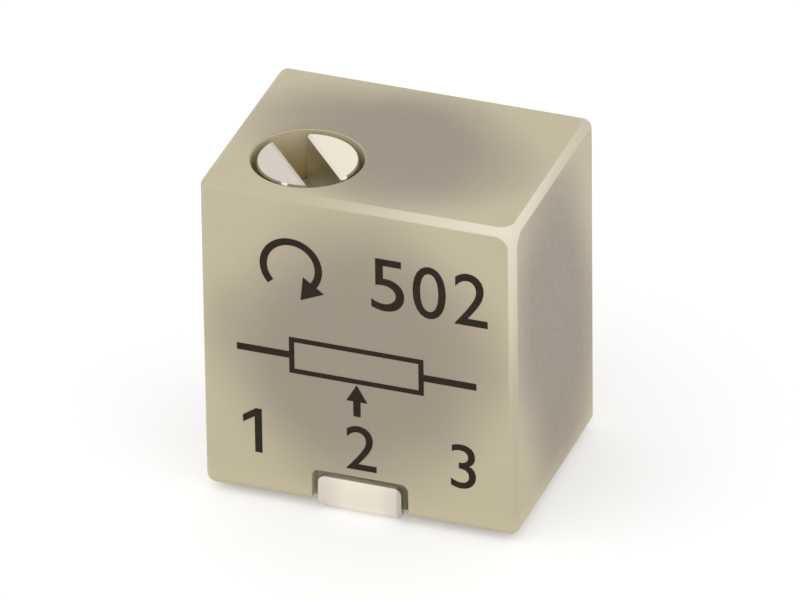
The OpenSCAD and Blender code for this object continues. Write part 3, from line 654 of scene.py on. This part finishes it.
def printed_front():
    """A turning arrow, a value code, the sign for a variable resistor and its lead numbers."""
    bm = bmesh.new()
    turning_arrow(bm)
    resistor_sign(bm)
    numbers_z, numbers_top = 0.7, 1.44
    outline(bm, ((0.8, numbers_z), (0.91, numbers_z), (0.91, numbers_top), (0.82, numbers_top),
                 (0.62, 1.3), (0.62, 1.18), (0.8, 1.3)))
    thicken(bm)
    code_z, code_height, code_width = 3.46, 0.86, 0.5
    for sign, x in (("5", 2.62), ("0", 3.25), ("2", 3.88)):
        figure(bm, sign, x, code_z, code_height, code_width)
    for sign, x in (("2", 2.2), ("3", 3.8)):
        figure(bm, sign, x, numbers_z, numbers_top - numbers_z)
    bmesh.ops.recalc_face_normals(bm, faces=bm.faces)
    mesh = bpy.data.meshes.new("front_print")
    bm.to_mesh(mesh)
    bm.free()
    ink = speckled("print_ink", paint(37, 28, 15), paint(47, 37, 23), 0.03 * MM, 0.6, 0.0006 * MM)
    ink.node_tree.nodes["Principled BSDF"].inputs["Specular IOR Level"].default_value = 0.2
    return keep(bpy.data.objects.new("front_print", mesh), ink, "case")


printed_front()


# Floor, light and camera

def studio_floor():
    """A square of paper under the part, 3 metres wide."""
    bm = bmesh.new()
    bmesh.ops.create_grid(bm, x_segments=1, y_segments=1, size=1.5)
    mesh = bpy.data.meshes.new("floor")
    bm.to_mesh(mesh)
    bm.free()
    mesh.materials.append(floor_paper())
    floor = bpy.data.objects.new("floor", mesh)
    bpy.context.scene.collection.objects.link(floor)


def soft_lamp(name, place, size, level):
    """A square lamp that faces the part. Level 1 lights a facing surface as a white sky does."""
    lamp = bpy.data.lights.new(name, "AREA")
    lamp.shape = "SQUARE"
    lamp.size = size
    away = Vector(place) - case_middle
    lamp.energy = level * (math.pi * away.length) ** 2
    holder = bpy.data.objects.new(name, lamp)
    holder.location = place
    holder.rotation_euler = away.to_track_quat("Z", "Y").to_euler()
    holder.visible_glossy = False
    bpy.context.scene.collection.objects.link(holder)


def pale_sky(level):
    """An even sky that is white to the camera and in reflections."""
    world = bpy.data.worlds.new("pale_sky")
    bpy.context.scene.world = world
    world.use_nodes = True
    tree = world.node_tree
    sky = tree.nodes["Background"]
    sky.inputs["Color"].default_value = (1.0, 1.0, 1.0, 1.0)
    path = tree.nodes.new("ShaderNodeLightPath")
    seen = path.outputs["Is Camera Ray"]
    for ray in ("Is Glossy Ray", "Is Transmission Ray"):
        either = tree.nodes.new("ShaderNodeMath")
        either.operation = "MAXIMUM"
        tree.links.new(seen, either.inputs[0])
        tree.links.new(path.outputs[ray], either.inputs[1])
        seen = either.outputs[0]
    strength = tree.nodes.new("ShaderNodeMapRange")
    strength.inputs["To Min"].default_value = level
    strength.inputs["To Max"].default_value = 1.0
    tree.links.new(seen, strength.inputs["Value"])
    tree.links.new(strength.outputs[0], sky.inputs["Strength"])


def photo_camera():
    """A long lens at the photograph's angle, fitted to the corners of the case."""
    turn, rise, roll = (math.radians(angle) for angle in (20.037, 31.101, -0.769))
    shift_right, shift_up, distance = 0.013 * MM, -2.195 * MM, 174.802 * MM
    picture_width, focal_pixels = 800, 12000
    back = Vector((math.sin(turn) * math.cos(rise), -math.cos(turn) * math.cos(rise), math.sin(rise)))
    level = Vector((math.cos(turn), math.sin(turn), 0))
    raised = back.cross(level)
    right = math.cos(roll) * level + math.sin(roll) * raised
    up = math.cos(roll) * raised - math.sin(roll) * level
    data = bpy.data.cameras.new("camera")
    data.sensor_width = 36
    data.lens = data.sensor_width * focal_pixels / picture_width
    data.clip_start, data.clip_end = 10 * MM, 2.0
    camera = bpy.data.objects.new("camera", data)
    eye = back * distance - right * shift_right - up * shift_up
    eye += Vector((case_middle.x, case_middle.y, case_low.z))
    camera.matrix_world = Matrix.Translation(eye) @ Matrix((right, up, back)).transposed().to_4x4()
    bpy.context.scene.collection.objects.link(camera)
    bpy.context.scene.camera = camera


studio_floor()
soft_lamp("key_lamp", (-45 * MM, -60 * MM, 80 * MM), 120 * MM, 0.2)
soft_lamp("side_lamp", (90 * MM, -30 * MM, 40 * MM), 90 * MM, 0.09)
pale_sky(0.77)
photo_camera()
bpy.context.scene.view_settings.view_transform = "Standard"
